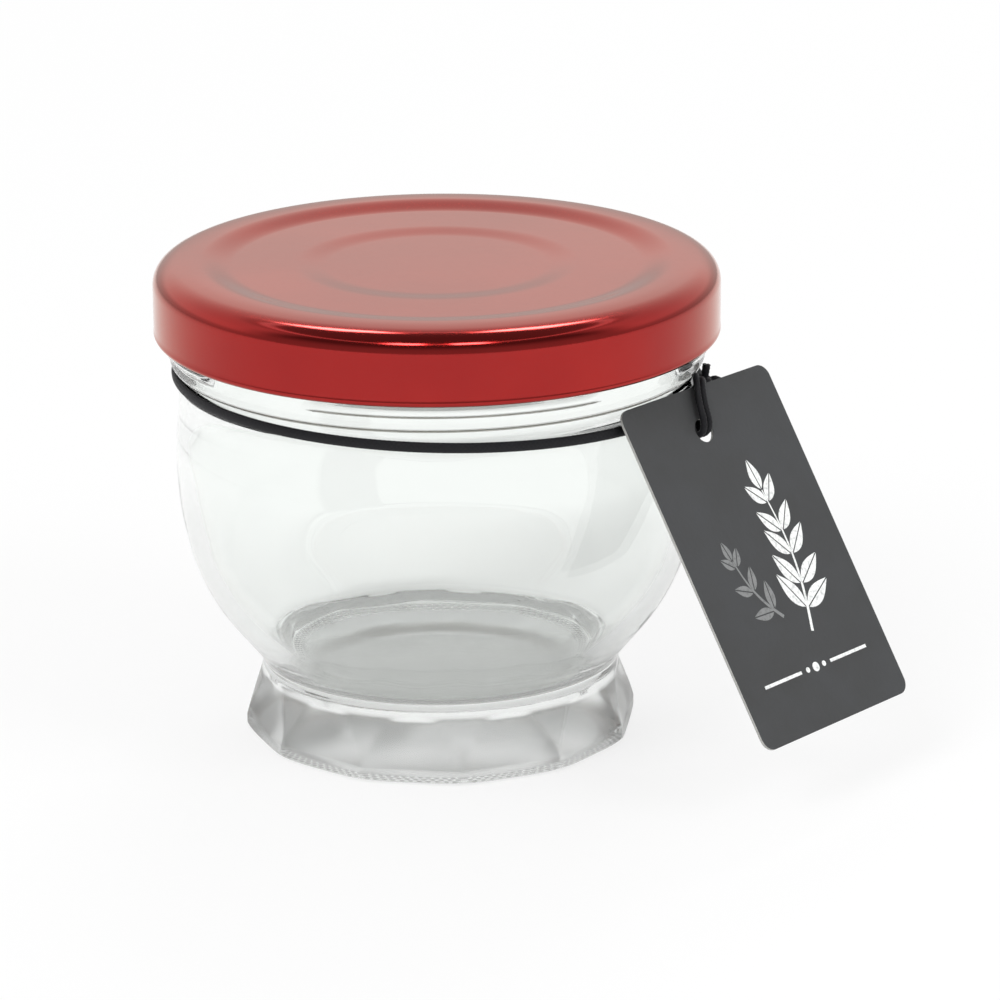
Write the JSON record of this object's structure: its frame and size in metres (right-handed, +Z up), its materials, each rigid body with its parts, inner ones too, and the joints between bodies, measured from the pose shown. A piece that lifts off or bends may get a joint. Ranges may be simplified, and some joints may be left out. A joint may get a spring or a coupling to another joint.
{
  "type": "small glass jar",
  "caption": "Empty footed glass jar with a bowl-shaped body, faceted foot, metal screw lid, a cord round its neck and a hanging card tag.",
  "frame": {"origin": "centre of the jar's base, on the surface it stands on", "axes": "+Z up along the jar's axis; -Y towards the front; the tag hangs at the front right, between +X and -Y"},
  "size_m": [0.1109, 0.0904, 0.0727],
  "materials": {
    "clear_glass": "clear soda-lime glass, pressed and fire polished",
    "red_lacquer": "tinplate with a red metallic lacquer, glossy",
    "black_cord": "braided black elastic cord",
    "grey_card": "matt charcoal printed card"
  },
  "bodies": {
    "root": {"jar": "clear_glass", "lid": "red_lacquer", "neck_cord": "black_cord", "tag_knot": "black_cord", "tag_strand_left": "black_cord", "tag_strand_right": "black_cord", "tag": "grey_card"}
  },
  "joints": []
}
